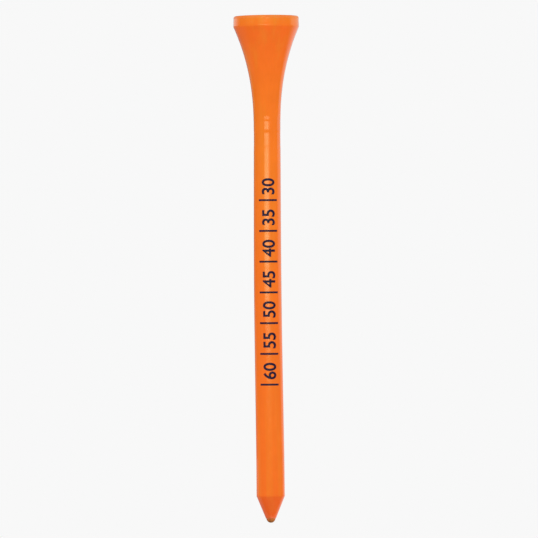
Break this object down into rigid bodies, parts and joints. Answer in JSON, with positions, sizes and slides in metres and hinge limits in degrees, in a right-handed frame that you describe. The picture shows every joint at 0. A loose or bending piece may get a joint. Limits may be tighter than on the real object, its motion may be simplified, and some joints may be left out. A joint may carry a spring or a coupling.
{
  "type": "golf tee",
  "caption": "Turned wooden golf tee with a concave ball cup, trumpet flare, slim tapered shank and blunt point, painted orange with a bare nose.",
  "frame": {"origin": "end of the nose on the tee's axis, the lowest point of the part", "axes": "+Z along the tee's axis from the nose to the cup; +X and +Y are alike, as the part is round, and -Y faces the camera"},
  "size_m": [0.0108, 0.0108, 0.0825],
  "materials": {
    "birch": "bare turned hardwood, slightly soiled at the nose",
    "orange_paint": "semi-gloss enamel film"
  },
  "bodies": {
    "root": {"wooden_body": "birch", "paint_coat": "orange_paint"}
  },
  "joints": []
}
